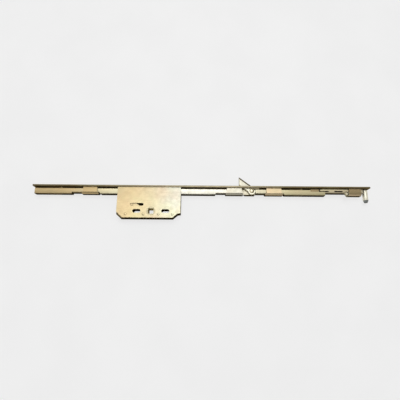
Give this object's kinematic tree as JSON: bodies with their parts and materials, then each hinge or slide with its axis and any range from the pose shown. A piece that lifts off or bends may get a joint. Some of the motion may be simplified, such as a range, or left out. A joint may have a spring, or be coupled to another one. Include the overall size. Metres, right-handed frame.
{
  "type": "cremone bolt",
  "caption": "Espagnolette-style cremone bolt: a rack gearbox behind a long faceplate slides one drive bar in guide straps and swings out a hook.",
  "frame": {"origin": "on the spindle axis, half-way through the thickness of the gearbox", "axes": "X along the faceplate towards the end rod, Y out of the leaf edge towards the faceplate's front, Z square to the leaf, out of the gearbox cover; the bolt lies on its back as in the picture"},
  "size_m": [0.51, 0.0658, 0.018],
  "materials": {
    "yellow_zinc_steel": "yellow chromate over zinc plate, satin",
    "bright_zinc_pins": "zinc plated rivets and pins, turned",
    "zinc_inner_steel": "zinc plated inner pieces, stamped"
  },
  "bodies": {
    "fixed_frame": {"faceplate": "yellow_zinc_steel", "gearbox_case": "yellow_zinc_steel", "gearbox_cover": "yellow_zinc_steel", "gearbox_rivets": "bright_zinc_pins", "screw_post_left": "zinc_inner_steel", "screw_post_right": "zinc_inner_steel", "guide_strap_1": "yellow_zinc_steel", "guide_strap_2": "yellow_zinc_steel", "guide_strap_3": "yellow_zinc_steel", "guide_strap_4": "yellow_zinc_steel", "guide_stud": "bright_zinc_pins"},
    "drive": {"drive_bar": "yellow_zinc_steel", "rack_slider": "zinc_inner_steel", "slider_pin": "bright_zinc_pins", "rack_pins": "bright_zinc_pins", "hook_pin": "bright_zinc_pins", "coupling_block": "yellow_zinc_steel", "coupling_rivet": "bright_zinc_pins", "end_rod": "yellow_zinc_steel", "lap_rivets": "bright_zinc_pins", "end_bolt": "yellow_zinc_steel", "end_bolt_rivet": "bright_zinc_pins"},
    "follower": {"follower_pinion": "yellow_zinc_steel"},
    "swing_hook": {"hook": "yellow_zinc_steel"}
  },
  "joints": [
    {"name": "bar_slide", "type": "slide", "parent": "fixed_frame", "child": "drive", "axis": [1, 0, 0], "range_m": [0, 0.01414]},
    {"name": "follower_turn", "type": "hinge", "parent": "fixed_frame", "child": "follower", "pos_m": [0, 0, 0], "axis": [0, 0, 1], "range_deg": [-90, 0]},
    {"name": "hook_swing", "type": "hinge", "parent": "drive", "child": "swing_hook", "pos_m": [0.1516, 0.0335, 0], "axis": [0, 0, 1], "range_deg": [0, 37]}
  ],
  "couplings": [
    {"joint": "follower_turn", "follows": "bar_slide", "rad_per_m": -111.11},
    {"joint": "hook_swing", "follows": "bar_slide", "rad_per_m": 45.679}
  ]
}
